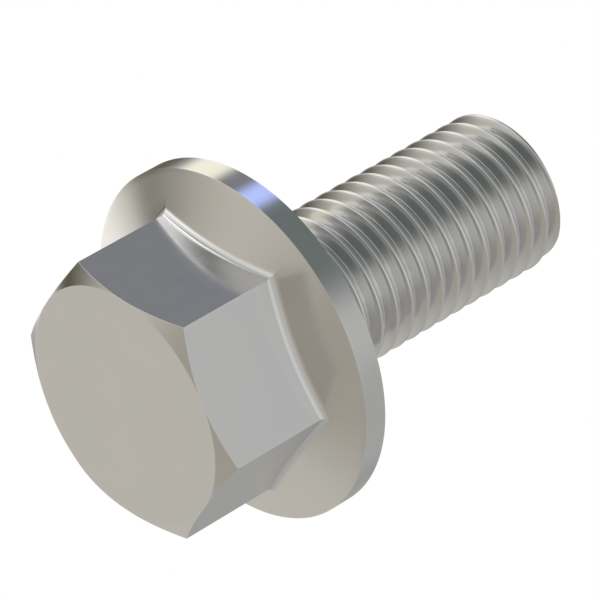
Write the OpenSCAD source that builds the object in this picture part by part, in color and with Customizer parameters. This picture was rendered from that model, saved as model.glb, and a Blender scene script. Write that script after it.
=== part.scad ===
// Hexagon flange bolt, M12 x 1.5, 25 mm long under its head.
// It stands on the flat face of its hexagon: Z = 0 is that face, and +Z runs along the shank.
// The shank is plain at the size over the thread's crests.

/* [Hexagon] */
// Width across the flats
across_flats = 18; // [16:0.1:19]
// Height of the head, from the flat face to the bearing face
head_h = 11.8; // [9:0.1:16]
// Diameter of the flat face inside its chamfer
face_d = 18; // [14:0.1:20]
// Angle between the chamfer and the flat face
face_chamfer_angle = 30; // [15:1:40]

/* [Flange] */
// Diameter of the flange
flange_d = 26.6; // [25:0.1:32]
// Height of the flange's straight rim
rim_h = 1.8; // [1:0.1:3]
// Slope of the flange's top, from the hexagon out to the rim
flange_slope = 20; // [10:1:30]
// Radius of the fillet between the hexagon and the flange
hex_fillet_r = 0.7; // [0.3:0.05:1]

/* [Shank] */
// Diameter over the thread's crests
thread_d = 12; // [10:0.1:14]
// Length under the head
shank_l = 25; // [12:1:80]
// Radius of the fillet between the bearing face and the shank
neck_fillet_r = 0.6; // [0.3:0.05:1]
// Chamfer at the tip
tip_chamfer = 0.25; // [0.1:0.05:1]

/* [Smoothness] */
// Steps of the hexagon's fillet along each flat
fillet_steps_along = 12; // [6:2:16]
// Steps across that fillet
fillet_steps_round = 8; // [4:1:10]

/* [Hidden] */
steel = [0.66, 0.66, 0.64];
apothem = across_flats / 2;
corner_r = apothem / cos(30);
flange_r = flange_d / 2;
shank_r = thread_d / 2;
rim_z = head_h - rim_h;
tip_z = head_h + shank_l;
// How deep a piece is sunk into the one it joins
sink = 1;
// How far the hexagon's fillet lies under the faces that it meets
seat = 0.01;

// Height of the flange's top at the radius r
function flange_z(r) = rim_z - (flange_r - r) * tan(flange_slope);

// The fillet is rolled along each flat. y is the place along the flat, from its middle.
// Radius at which the flat meets the flange
function foot_r(y) = norm([apothem, y]);
// Slope of the flange across the flat there
function lean(y) = atan(tan(flange_slope) * apothem / foot_r(y));
// Angle of one point round the fillet's own circle, from the flat towards the flange
function turn(step, y) = step / fillet_steps_round * (90 - lean(y));
// Distance of that point out from the axis, square to the flat
function fillet_x(step, y) = apothem - seat + hex_fillet_r * (1 - cos(turn(step, y)));
// Height of that point
function fillet_z(step, y) =
    flange_z(foot_r(y)) + seat
    + hex_fillet_r * (tan(lean(y)) - 1 / cos(lean(y)) + sin(turn(step, y)));
// Place along the flat at which the fillet crosses the half-plane at the angle a from the flat's middle
function crossing(step, a, y, rounds = 4) =
    rounds == 0 ? y : crossing(step, a, fillet_x(step, y) * tan(a), rounds - 1);

// One point of the fillet, in the half-plane at the angle a: [radius, height]
function fillet_point(step, a) =
    let (y = crossing(step, a, apothem * tan(a)))
    [norm([fillet_x(step, y), y]), fillet_z(step, y)];

// One closed section of the fillet in that half-plane: the curve, then three points inside the head
function fillet_section(a) =
    let (
        curve = [for (step = [0:fillet_steps_round]) fillet_point(step, a)],
        first = curve[0],
        last = curve[fillet_steps_round]
    )
    concat(
        curve,
        [
            [last[0], last[1] + sink / 2],
            [first[0] - sink, last[1] + sink / 2],
            [first[0] - sink, first[1]]
        ]
    );

// Swept ring of the hexagon's fillet, mitred at the six corners
module hex_fillet() {
    count = 6 * fillet_steps_along;
    size = fillet_steps_round + 4;
    sections = [
        for (i = [0:count - 1])
            let (
                a = i * 60 / fillet_steps_along,
                off = (i % fillet_steps_along) * 60 / fillet_steps_along - 30
            )
            [for (p = fillet_section(off)) [p[0] * cos(a), p[0] * sin(a), p[1]]]
    ];
    points = [for (section = sections) each section];
    faces = [
        for (i = [0:count - 1], j = [0:size - 1])
            let (next_i = (i + 1) % count, next_j = (j + 1) % size)
            [i * size + j, i * size + next_j, next_i * size + next_j, next_i * size + j]
    ];
    polyhedron(points = points, faces = faces);
}

// Hexagon with the conical chamfer round its flat face
module hexagon() {
    chamfer_h = (corner_r + sink - face_d / 2) * tan(face_chamfer_angle);
    intersection() {
        cylinder(h = head_h - rim_h / 2, r = corner_r, $fn = 6);
        rotate_extrude($fn = 96)
            polygon([
                [0, 0],
                [face_d / 2, 0],
                [corner_r + sink, chamfer_h],
                [corner_r + sink, head_h],
                [0, head_h]
            ]);
    }
}

// Half section of the flange: cone, straight rim and flat bearing face
module flange_section() {
    inner_r = apothem - sink;
    polygon([
        [0, flange_z(inner_r)],
        [inner_r, flange_z(inner_r)],
        [flange_r, rim_z],
        [flange_r, head_h],
        [0, head_h]
    ]);
}

// Half section of the shank, with the fillet at its neck and the chamfer at its tip
module shank_section() {
    polygon([
        [0, head_h - sink],
        [shank_r, head_h - sink],
        [shank_r, tip_z - tip_chamfer],
        [shank_r - tip_chamfer, tip_z],
        [0, tip_z]
    ]);
    translate([0, head_h - sink])
        difference() {
            square([shank_r + neck_fillet_r, sink + neck_fillet_r]);
            translate([shank_r + neck_fillet_r, sink + neck_fillet_r])
                circle(r = neck_fillet_r, $fn = 48);
        }
}

module flange_bolt() {
    color(steel) {
        rotate_extrude($fn = 96)
            union() {
                flange_section();
                shank_section();
            }
        hexagon();
        hex_fillet();
    }
}

flange_bolt();
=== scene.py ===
"""M12 hexagon flange bolt, standing on the flat face of its head, with +Z along the shank.

Sizes are in millimetres here and become metres where the mesh is made.
"""
import math

import bmesh
import bpy
import numpy as np
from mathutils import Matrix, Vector

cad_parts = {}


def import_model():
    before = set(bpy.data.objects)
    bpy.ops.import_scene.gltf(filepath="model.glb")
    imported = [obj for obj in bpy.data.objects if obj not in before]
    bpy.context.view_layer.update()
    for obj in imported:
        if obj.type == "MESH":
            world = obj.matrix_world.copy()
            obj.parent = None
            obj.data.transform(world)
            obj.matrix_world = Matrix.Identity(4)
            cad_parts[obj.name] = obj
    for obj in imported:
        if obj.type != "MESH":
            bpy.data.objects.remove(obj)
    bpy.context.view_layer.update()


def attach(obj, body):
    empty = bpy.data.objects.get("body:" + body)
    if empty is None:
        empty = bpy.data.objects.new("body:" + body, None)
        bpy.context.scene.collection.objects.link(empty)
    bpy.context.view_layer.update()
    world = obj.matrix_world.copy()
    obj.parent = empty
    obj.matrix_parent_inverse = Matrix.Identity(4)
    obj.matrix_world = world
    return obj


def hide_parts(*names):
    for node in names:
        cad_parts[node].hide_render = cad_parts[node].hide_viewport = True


MM = 0.001

# Head
APOTHEM = 9.0
FACE_R = 9.0
HEAD_H = 11.8
CHAMFER_ANGLE = math.radians(30)
FLANGE_R = 13.3
RIM_Z = 10.0
CONE_ANGLE = math.radians(20)
HEX_FILLET_R = 0.7
NECK_FILLET_R = 0.6
EDGE_R = 0.02
# Half the width of the round on a corner of the hexagon
CORNER_HALF = EDGE_R / 2

# Shank and thread
MAJOR_R = 6.0
THREAD_Z = HEAD_H + NECK_FILLET_R
PITCH = 1.5
TIP_Z = 36.8
TIP_CHAMFER = 0.1
CREST_FLAT = PITCH / 8
ROOT_FLAT = PITCH / 4
CREST_ROUND = 0.15
ROOT_ROUND = 0.1
# How far the thread's profile turns from a crest down to its flank
FLANK_TURN = math.radians(60)
RUN_OUT = 2.0
CREST_AT_TIP = math.radians(14)

# How finely the mesh is divided: steps along a curve, rings given by their radius, and rows between two
# rings given by their shares of the way
COLUMNS_PER_FLAT = 30
FACE_RINGS = (0, 3, 6, 8.4)
FACE_EDGE_STEPS = 3
EDGE_STEPS = 4
CHAMFER_SHARES = (0.05, 0.35, 0.65, 0.95)
FILLET_STEPS = 8
# Rounds that find where a column crosses the fillet
CROSSING_ROUNDS = 4
CONE_SHARES = (0.3, 0.6, 0.85)
BEARING_EDGE_STEPS = 5
BEARING_RINGS = (10.0, 8.0)
NECK_STEPS = 6
PROFILE_STEPS = 4
FLANK_SHARES = (0.33, 0.67)
# Turns of the helix past either end, which are clamped there
SPARE_TURNS = 3
TIP_ROWS = 4
END_SHARES = (0.7, 0.35, 0)
# In metres
WELD_DISTANCE = 2e-6
SHARP_ANGLE = math.radians(25)

# The studio that the metal reflects: a grey tent with soft round panels before it, each laid over those
# above it in the list. A panel is given by the azimuth and elevation of its middle, its radius and the
# half width of its soft edge, in degrees, then by its brightness, where 1 is white, and its tint.
TENT = (0.48, (1.0, 1.0, 1.0))
PANELS = {
    "ground": (0, -90, 55, 15, 0.45, (1.0, 0.94, 0.82)),
    "ceiling": (-40, 75, 30, 15, 0.37, (1.0, 1.0, 1.0)),
    "front_floor": (45, -45, 20, 20, 0.62, (1.0, 0.98, 0.93)),
    "front_wall": (45, 5, 25, 20, 0.78, (0.99, 1.0, 1.02)),
    "dim_back": (165, 35, 20, 10, 0.4, (1.0, 1.0, 0.98)),
    "back_wall": (-175, -20, 30, 15, 0.63, (1.0, 0.96, 0.88)),
    "side_floor": (-120, -60, 15, 15, 0.65, (1.0, 0.95, 0.86)),
    "side_wall": (-60, -35, 25, 20, 0.85, (1.0, 1.0, 0.97)),
    "softbox": (-90, -28, 13, 10, 1.25, (1.0, 1.0, 1.0)),
    "left_strip": (-150, -10, 15, 5, 1.15, (1.0, 0.98, 0.92)),
    "side_window": (-90, 5, 20, 10, 1.15, (1.0, 0.99, 0.95)),
    "low_flag": (-130, -20, 12, 15, 0.1, (1.0, 0.85, 0.4)),
    "high_flag": (-145, 30, 15, 10, 0.13, (1.0, 1.0, 0.75)),
    "dark_side": (-20, 30, 32, 15, 0.2, (0.9, 1.05, 1.05)),
    "ivory_lamp": (-103, 38, 13, 6, 1.2, (1.0, 0.97, 0.82)),
    "grey_flag": (-75, 33, 10, 4, 0.25, (0.98, 1.0, 1.06)),
    "blue_lamp": (-60, 34, 7, 4, 1.5, (0.44, 0.54, 1.0)),
    "tall_lamp": (-72, 12, 5, 4, 2.0, (0.97, 1.0, 1.08)),
    "dark_strip": (-69, 0, 4, 2, 0.15, (1.0, 1.0, 1.0)),
}
ROOM_LIGHT = (0.8, 0.8, 0.8)

# The steel
STEEL_COOL = (0.713, 0.71, 0.699, 1)
STEEL_WARM = (0.727, 0.72, 0.701, 1)
STEEL_WORN = (0.76, 0.757, 0.745, 1)
# Darker colour that the thread's roots take in patches
STEEL_DULL = (0.62, 0.612, 0.59, 1)
ROUGHNESS = 0.14
ROUGHNESS_SWING = 0.008
# What wear and the darker roots add to the roughness, and how much of the worn colour shows
WORN_ROUGHNESS = -0.03
DULL_ROUGHNESS = 0.05
WORN_SHARE = 0.4
# Noises, each as the size of its grains in millimetres and its detail
CLOUDS = (4, 3)
PATCHES = (1.2, 4)
GRAIN = (0.25, 2)
GRAIN_HEIGHT = 0.0005
CONTRAST = (0.3, 0.7)
# Turned edges that handling polishes, each as its radius and height, and how far from them it reaches
WORN_CIRCLES = ((FACE_R, 0), (FLANGE_R, RIM_Z), (FLANGE_R, HEAD_H), (MAJOR_R, TIP_Z))
WEAR_REACH = 0.3
# Radii at which wear starts and is full, on the crests and on the corners of the hexagon, which end at
# these heights
CREST_WEAR = (5.85, 5.98)
CORNER_WEAR = (10.2, 10.38)
HEXAGON_END = (8.5, 7.5)
# Radii at which the darker, rougher colour in the roots starts and is full
ROOT_DARKENING = (5.5, 5.2)

# Floor, lamp and camera, in metres and degrees
FLOOR_HALF = 0.6
FLOOR_Z = -0.00005
FLOOR_COLOUR = (0.9, 0.9, 0.9, 1)
KEY_PLACE = (-0.2, -0.2, 0.4)
KEY_SIZE = 0.3
KEY_POWER = 2.0
# The camera comes from a fit of its place to the corners and edges of the head in the picture
CAMERA_PLACE = (0.286554, 0.07274, -0.184031)
CAMERA_TURN = (143.7257, -45.8, 59.9704)
CAMERA_LENS = 307.5
CAMERA_SENSOR = 36
CAMERA_CLIP = (0.01, 10)


def column_angles():
    """Angles of the mesh's columns from the middle of a flat, and for each the nearest even column.

    Two more columns on each side of a corner of the hexagon carry the round of its edge.
    """
    flat = math.pi / 3
    even = -flat / 2 + np.arange(6 * COLUMNS_PER_FLAT) * flat / COLUMNS_PER_FLAT
    half_round = math.asin(CORNER_HALF / (APOTHEM / math.cos(flat / 2)))
    beside = half_round * np.array([-1, -0.5, 0.5, 1])
    near = (np.arange(6)[:, None] * flat + beside).ravel()
    angles = np.sort(np.concatenate([even, near]))
    nearest = np.abs(angles[:, None] - even).argmin(1)
    return angles, np.searchsorted(angles, even)[nearest]


def from_flat(angles):
    """Each angle measured from the middle of its own flat."""
    return angles % (math.pi / 3) - math.pi / 6


def wall_radius(off):
    """Distance from the axis to the hexagon's wall, with its corners rounded."""
    centre = (APOTHEM - EDGE_R) / math.cos(math.pi / 6)
    corner_off = math.pi / 6 - np.abs(off)
    side = centre * np.sin(corner_off)
    rounded = centre * np.cos(corner_off) + np.sqrt(np.maximum(EDGE_R**2 - side**2, 0))
    on_flat = side > CORNER_HALF
    return np.where(on_flat, APOTHEM / np.cos(off), rounded)


def arc(centre_r, centre_z, radius, start, end, steps):
    """Points of an arc in every column's half-plane; angles are in degrees from +R towards +Z."""
    turn = np.radians(np.linspace(start, end, steps + 1))
    r = np.asarray(centre_r)[..., None] + radius * np.cos(turn)
    z = np.asarray(centre_z)[..., None] + radius * np.sin(turn)
    return np.stack(np.broadcast_arrays(r, z), -1)


def between(first, last, shares):
    """Points on the straight line between two rings, at these shares of the way."""
    shares = np.array(shares)[:, None]
    return first[:, None] * (1 - shares) + last[:, None] * shares


def face_and_chamfer(wall):
    """The flat face and its chamfer, then the rounded edge at which the wall starts."""
    ease = EDGE_R * math.tan(CHAMFER_ANGLE / 2)
    chamfer_deg = math.degrees(CHAMFER_ANGLE)
    along = (wall - EDGE_R - FACE_R + EDGE_R * math.sin(CHAMFER_ANGLE)) * math.tan(CHAMFER_ANGLE)
    low_r = np.minimum(FACE_R - ease, wall - EDGE_R)
    high_z = np.maximum(EDGE_R * math.cos(CHAMFER_ANGLE) + along, EDGE_R)
    rings = np.array([(r, 0) for r in FACE_RINGS]) + np.zeros((len(wall), 1, 1))
    low = arc(low_r, np.full_like(wall, EDGE_R), EDGE_R, -90, -90 + chamfer_deg, FACE_EDGE_STEPS)
    high = arc(wall - EDGE_R, high_z, EDGE_R, -90 + chamfer_deg, 0, EDGE_STEPS)
    cone = between(low[:, -1], high[:, 0], CHAMFER_SHARES)
    return np.concatenate([rings, low, cone], 1), high


def hex_fillet(off, wall):
    """The fillet rolled along each flat, mitred at the corners."""
    share = np.linspace(0, 1, FILLET_STEPS + 1)
    y = APOTHEM * np.tan(off)[:, None] + np.zeros(FILLET_STEPS + 1)
    for _ in range(CROSSING_ROUNDS):
        foot = np.hypot(APOTHEM, y)
        lean = np.arctan(math.tan(CONE_ANGLE) * APOTHEM / foot)
        turn = share * (math.pi / 2 - lean)
        x = APOTHEM + HEX_FILLET_R * (1 - np.cos(turn))
        y = x * np.tan(off)[:, None]
    cone_z = RIM_Z - (FLANGE_R - foot) * math.tan(CONE_ANGLE)
    z = cone_z + HEX_FILLET_R * (np.tan(lean) - 1 / np.cos(lean) + np.sin(turn))
    r = np.hypot(x, y) + (wall - APOTHEM / np.cos(off))[:, None] * (1 - share)
    return np.stack([r, z], -1)


def turned_part(columns, inner):
    """Cone, rim, bearing face and neck, from the end of the hexagon's fillet to the thread."""
    cone_deg = math.degrees(CONE_ANGLE)
    slope = math.tan(CONE_ANGLE)
    ease = EDGE_R * math.tan((math.pi / 2 - CONE_ANGLE) / 2)
    rest = [
        arc(FLANGE_R - EDGE_R, RIM_Z + ease, EDGE_R, -90 + cone_deg, 0, EDGE_STEPS),
        arc(FLANGE_R - EDGE_R, HEAD_H - EDGE_R, EDGE_R, 0, 90, BEARING_EDGE_STEPS),
        np.array([(r, HEAD_H) for r in BEARING_RINGS]),
        arc(MAJOR_R + NECK_FILLET_R, THREAD_Z, NECK_FILLET_R, 270, 180, NECK_STEPS),
    ]
    fixed = np.concatenate(rest) + np.zeros((columns, 1, 1))
    end_r = fixed[:, 0, 0]
    cone_r = inner[:, None] + (end_r - inner)[:, None] * np.array(CONE_SHARES)
    cone = np.stack([cone_r, RIM_Z - (FLANGE_R - cone_r) * slope], -1)
    return np.concatenate([cone, fixed], 1)


def thread_profile():
    """Places along one pitch, from a crest's middle, and the radius there: 60 degree flanks, flat root."""
    steps = np.linspace(0, FLANK_TURN, PROFILE_STEPS + 1)
    crest_end = CREST_FLAT / 2 - CREST_ROUND * math.tan(FLANK_TURN / 2)
    crest = [(crest_end + CREST_ROUND * math.sin(t), MAJOR_R - CREST_ROUND * (1 - math.cos(t)))
             for t in steps]
    root_end = PITCH / 2 - ROOT_FLAT / 2 + ROOT_ROUND * math.tan(FLANK_TURN / 2)
    root_r = MAJOR_R - (PITCH - CREST_FLAT - ROOT_FLAT) / 2 * math.tan(FLANK_TURN)
    root = [(root_end - ROOT_ROUND * math.sin(t), root_r + ROOT_ROUND * (1 - math.cos(t)))
            for t in steps[::-1]]
    across = np.subtract(root[0], crest[-1])
    flank = [tuple(np.add(crest[-1], across * share)) for share in FLANK_SHARES]
    side = [(0.0, MAJOR_R)] + crest + flank + root
    back = [(PITCH - s, r) for s, r in reversed(side[1:])]
    return np.array(side + [(PITCH / 2, root_r)] + back)


def smoothstep(x):
    x = np.clip(x, 0, 1)
    return x * x * (3 - 2 * x)


def thread_rows(angles):
    """Rows of the thread along its helix, clamped at the neck and at the tip's chamfer."""
    profile = thread_profile()
    low, high = THREAD_Z, TIP_Z - TIP_CHAMFER
    turns = np.arange(-SPARE_TURNS - math.ceil((TIP_Z - HEAD_H) / PITCH), SPARE_TURNS)
    places = (turns[:, None] * PITCH + profile[:, 0]).ravel()
    start = TIP_Z - CREST_FLAT / 2 + (angles - CREST_AT_TIP) / (2 * math.pi) * PITCH
    z = np.clip(start[:, None] + places, low, high)
    tip = np.linspace(high, TIP_Z, TIP_ROWS + 1)[1:] + np.zeros((len(angles), 1))
    z = np.concatenate([z, tip], 1)
    phase = (z - start[:, None]) % PITCH
    radius = np.interp(phase, np.append(profile[:, 0], PITCH), np.append(profile[:, 1], MAJOR_R))
    radius = MAJOR_R - (MAJOR_R - radius) * smoothstep((z - low) / RUN_OUT)
    radius = np.minimum(radius, MAJOR_R - np.maximum(z - high, 0))
    return np.stack([radius, z], -1), len(profile)


def bolt_mesh():
    """One closed mesh: columns round the axis, rows from the face's centre to the tip's centre."""
    angles, nearest = column_angles()
    off = from_flat(angles)
    wall = wall_radius(off)
    face, edge = face_and_chamfer(wall)
    fillet = hex_fillet(off, wall)
    turned = turned_part(len(angles), fillet[:, -1, 0])
    thread, shift = thread_rows(angles)
    end_r = thread[:, -1:, 0] * np.array(END_SHARES)
    end = np.stack([end_r, np.full_like(end_r, TIP_Z)], -1)
    path = np.concatenate([face, edge, fillet, turned, thread, end], 1)
    hexagon_end = face.shape[1] + edge.shape[1] + fillet.shape[1]
    first = hexagon_end + turned.shape[1]
    last = first + thread.shape[1] - TIP_ROWS
    columns, rows = path.shape[:2]

    # Off the hexagon, the columns round a corner are drawn together into one, and weld() makes them one
    row = np.arange(rows)
    on_hexagon = (row >= face.shape[1]) & (row < hexagon_end)
    source = np.where(on_hexagon, np.arange(columns)[:, None], nearest[:, None])
    path, turn = path[source, row], angles[source]
    x, y = path[..., 0] * np.cos(turn), path[..., 0] * np.sin(turn)
    verts = np.stack([x, y, path[..., 1]], -1).reshape(-1, 3)

    def joined(row, column):
        """Row of the next column that continues this one: the helix climbs a pitch in a full turn."""
        if column + 1 < columns or not first <= row < last:
            return row
        return min(row + shift, last - 1)

    faces = []
    for c in range(columns):
        here, there = c * rows, (c + 1) % columns * rows
        for r in range(rows - 1):
            faces.append((here + r, here + r + 1, there + joined(r + 1, c), there + joined(r, c)))
    return verts * MM, faces


def mesh_object(name, verts, faces):
    mesh = bpy.data.meshes.new(name)
    mesh.from_pydata(verts.tolist(), [], faces)
    obj = bpy.data.objects.new(name, mesh)
    bpy.context.scene.collection.objects.link(obj)
    weld(mesh)
    mesh.shade_smooth()
    mesh.set_sharp_from_angle(angle=SHARP_ANGLE)
    normals = obj.modifiers.new("normals", "WEIGHTED_NORMAL")
    normals.keep_sharp = True
    return obj


def weld(mesh):
    """Merges the points that the clamped rows put in one place and turns the faces outward."""
    work = bmesh.new()
    work.from_mesh(mesh)
    bmesh.ops.remove_doubles(work, verts=work.verts, dist=WELD_DISTANCE)
    bmesh.ops.recalc_face_normals(work, faces=work.faces)
    work.to_mesh(mesh)
    work.free()


def add_node(tree, kind, inputs, **settings):
    """A new node with these settings. Each input is linked where it is given a socket, and else set."""
    node = tree.nodes.new("ShaderNode" + kind)
    for name, value in settings.items():
        setattr(node, name, value)
    for key, value in inputs.items():
        if isinstance(value, bpy.types.NodeSocket):
            tree.links.new(value, node.inputs[key])
        else:
            node.inputs[key].default_value = value
    return node


def calc(tree, operation, *values):
    return add_node(tree, "Math", dict(enumerate(values)), operation=operation).outputs[0]


def ramp(tree, value, start, end, low=0.0, high=1.0):
    """Smooth change from low to high while the value goes from start to end."""
    inputs = {"Value": value, "From Min": start, "From Max": end, "To Min": low, "To Max": high}
    return add_node(tree, "MapRange", inputs, interpolation_type="SMOOTHSTEP").outputs["Result"]


def blend(tree, share, first, second):
    inputs = {0: share, 6: first, 7: second}
    return add_node(tree, "Mix", inputs, data_type="RGBA").outputs[2]


def noise(tree, place, grain, detail):
    """Noise from 0 to 1 with grains of this size in millimetres."""
    inputs = {"Vector": place, "Scale": 1 / (grain * MM), "Detail": detail}
    return add_node(tree, "TexNoise", inputs).outputs[0]


def distance(tree, x, y):
    """Length of a line that goes this far in x and in y."""
    squares = calc(tree, "ADD", calc(tree, "MULTIPLY", x, x), calc(tree, "MULTIPLY", y, y))
    return calc(tree, "SQRT", squares)


def ramp_mm(tree, value, ends):
    """1 past the second of two places in millimetres and 0 before the first."""
    return ramp(tree, value, ends[0] * MM, ends[1] * MM)


def near_circle(tree, radius, height, circle):
    """1 on a turned edge, given by its radius and height, and 0 from WEAR_REACH away."""
    out = calc(tree, "SUBTRACT", radius, circle[0] * MM)
    up = calc(tree, "SUBTRACT", height, circle[1] * MM)
    return ramp_mm(tree, distance(tree, out, up), (WEAR_REACH, 0))


def wear_and_dark_roots(tree, place):
    """Shares from 0 to 1: where handling polishes the edges and crests, and where the roots are darker and
    rougher.
    """
    x, y, height = add_node(tree, "SeparateXYZ", {0: place}).outputs
    radius = distance(tree, x, y)
    threaded = ramp_mm(tree, height, (THREAD_Z, THREAD_Z + RUN_OUT))
    on_hexagon = ramp_mm(tree, height, HEXAGON_END)
    wear = calc(tree, "MULTIPLY", threaded, ramp_mm(tree, radius, CREST_WEAR))
    corner = calc(tree, "MULTIPLY", on_hexagon, ramp_mm(tree, radius, CORNER_WEAR))
    wear = calc(tree, "MAXIMUM", wear, corner)
    for circle in WORN_CIRCLES:
        wear = calc(tree, "MAXIMUM", wear, near_circle(tree, radius, height, circle))
    # Share of the darker, rougher colour in the thread's roots
    in_roots = calc(tree, "MULTIPLY", ramp_mm(tree, radius, ROOT_DARKENING), threaded)
    off_the_tip = ramp_mm(tree, height, (TIP_Z, TIP_Z - TIP_CHAMFER))
    return wear, calc(tree, "MULTIPLY", in_roots, off_the_tip)


def steel_material():
    """Satin steel: cloudy tone, fine grain, polished edges and crests, darker and rougher roots."""
    material = bpy.data.materials.new("satin_steel")
    material.use_nodes = True
    tree = material.node_tree
    shader = tree.nodes["Principled BSDF"]
    shader.inputs["Metallic"].default_value = 1
    place = add_node(tree, "TexCoord", {}).outputs["Object"]
    # Wear on the edges and crests, and the share of darker, rougher colour in the thread's roots
    wear, root_darkening = wear_and_dark_roots(tree, place)
    cloudy = ramp(tree, noise(tree, place, *CLOUDS), *CONTRAST)
    patchy = ramp(tree, noise(tree, place, *PATCHES), *CONTRAST)
    colour = blend(tree, cloudy, STEEL_COOL, STEEL_WARM)
    colour = blend(tree, calc(tree, "MULTIPLY", wear, WORN_SHARE), colour, STEEL_WORN)
    # Darker colour in the thread's roots, in patches
    colour = blend(tree, calc(tree, "MULTIPLY", root_darkening, patchy), colour, STEEL_DULL)
    tree.links.new(colour, shader.inputs["Base Color"])
    rough = ramp(tree, patchy, 0, 1, ROUGHNESS - ROUGHNESS_SWING, ROUGHNESS + ROUGHNESS_SWING)
    rough = calc(tree, "MULTIPLY_ADD", wear, WORN_ROUGHNESS, rough)
    rough = calc(tree, "MULTIPLY_ADD", root_darkening, DULL_ROUGHNESS, rough)
    tree.links.new(rough, shader.inputs["Roughness"])
    grain = noise(tree, place, *GRAIN)
    bump = add_node(tree, "Bump", {"Strength": 1, "Distance": GRAIN_HEIGHT * MM, "Height": grain})
    tree.links.new(bump.outputs[0], shader.inputs["Normal"])
    return material


def floor():
    """A pale floor seen only from above, so that the bolt also shows from below."""
    mesh = bpy.data.meshes.new("floor")
    corners = [(x * FLOOR_HALF, y * FLOOR_HALF, FLOOR_Z) for x, y in ((-1, -1), (1, -1), (1, 1), (-1, 1))]
    mesh.from_pydata(corners, [], [(0, 1, 2, 3)])
    obj = bpy.data.objects.new("floor", mesh)
    bpy.context.scene.collection.objects.link(obj)
    material = bpy.data.materials.new("floor")
    material.use_nodes = True
    tree = material.node_tree
    shader = tree.nodes["Principled BSDF"]
    shader.inputs["Base Color"].default_value = FLOOR_COLOUR
    from_below = add_node(tree, "NewGeometry", {}).outputs["Backfacing"]
    clear = add_node(tree, "BsdfTransparent", {})
    mix = add_node(tree, "MixShader", {0: from_below, 1: shader.outputs[0], 2: clear.outputs[0]})
    tree.links.new(mix.outputs[0], tree.nodes["Material Output"].inputs["Surface"])
    mesh.materials.append(material)
    obj.visible_shadow = obj.visible_glossy = obj.visible_diffuse = obj.visible_transmission = False


def heading(azimuth, elevation):
    """Unit vector of a direction, in degrees: azimuth from +X towards +Y, elevation towards +Z."""
    turn, rise = math.radians(azimuth), math.radians(elevation)
    return math.cos(rise) * math.cos(turn), math.cos(rise) * math.sin(turn), math.sin(rise)


def lit(brightness, tint):
    """Colour of a tint at this brightness."""
    return *(brightness * channel for channel in tint), 1


def studio_colour(tree):
    """Colour of the studio's tent in each direction, with the panels before it."""
    direction = add_node(tree, "TexCoord", {}).outputs["Generated"]
    colour = lit(*TENT)
    for azimuth, elevation, radius, softness, brightness, tint in PANELS.values():
        middle = heading(azimuth, elevation)
        dot = add_node(tree, "VectorMath", {0: direction, 1: middle}, operation="DOT_PRODUCT")
        angle = calc(tree, "ARCCOSINE", dot.outputs["Value"])
        share = ramp(tree, angle, math.radians(radius + softness), math.radians(radius - softness))
        colour = blend(tree, share, colour, lit(brightness, tint))
    return colour


def world():
    """Plain light for the floor, the studio's tent for what the metal reflects, white for the camera."""
    scene_world = bpy.data.worlds.new("studio")
    bpy.context.scene.world = scene_world
    scene_world.use_nodes = True
    scene_world.cycles.sampling_method = "NONE"
    tree = scene_world.node_tree
    rays = add_node(tree, "LightPath", {}).outputs
    in_view = blend(tree, rays["Is Camera Ray"], studio_colour(tree), (1, 1, 1, 1))
    seen = add_node(tree, "Background", {"Color": in_view})
    light = add_node(tree, "Background", {"Color": (*ROOM_LIGHT, 1)})
    mirrored = calc(tree, "MAXIMUM", rays["Is Glossy Ray"], rays["Is Transmission Ray"])
    shown = calc(tree, "MAXIMUM", rays["Is Camera Ray"], mirrored)
    mix = add_node(tree, "MixShader", {0: shown, 1: light.outputs[0], 2: seen.outputs[0]})
    tree.links.new(mix.outputs[0], tree.nodes["World Output"].inputs["Surface"])


def key_lamp():
    """A soft white lamp above and behind the bolt, aimed at it, which the metal doesn't mirror."""
    data = bpy.data.lights.new("key", "AREA")
    data.shape, data.size, data.energy = "DISK", KEY_SIZE, KEY_POWER
    obj = bpy.data.objects.new("key", data)
    bpy.context.scene.collection.objects.link(obj)
    obj.location = KEY_PLACE
    obj.rotation_euler = (-Vector(KEY_PLACE)).to_track_quat("-Z", "Y").to_euler()
    obj.visible_glossy = False


def camera():
    data = bpy.data.cameras.new("camera")
    data.lens, data.sensor_width = CAMERA_LENS, CAMERA_SENSOR
    data.clip_start, data.clip_end = CAMERA_CLIP
    obj = bpy.data.objects.new("camera", data)
    bpy.context.scene.collection.objects.link(obj)
    obj.location = CAMERA_PLACE
    obj.rotation_euler = [math.radians(angle) for angle in CAMERA_TURN]
    bpy.context.scene.camera = obj


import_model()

bolt = mesh_object("threaded_flange_bolt", *bolt_mesh())
bolt.data.materials.append(steel_material())
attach(bolt, "root")
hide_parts("flange_bolt")

floor()
world()
key_lamp()
camera()
bpy.context.scene.view_settings.view_transform = "Standard"
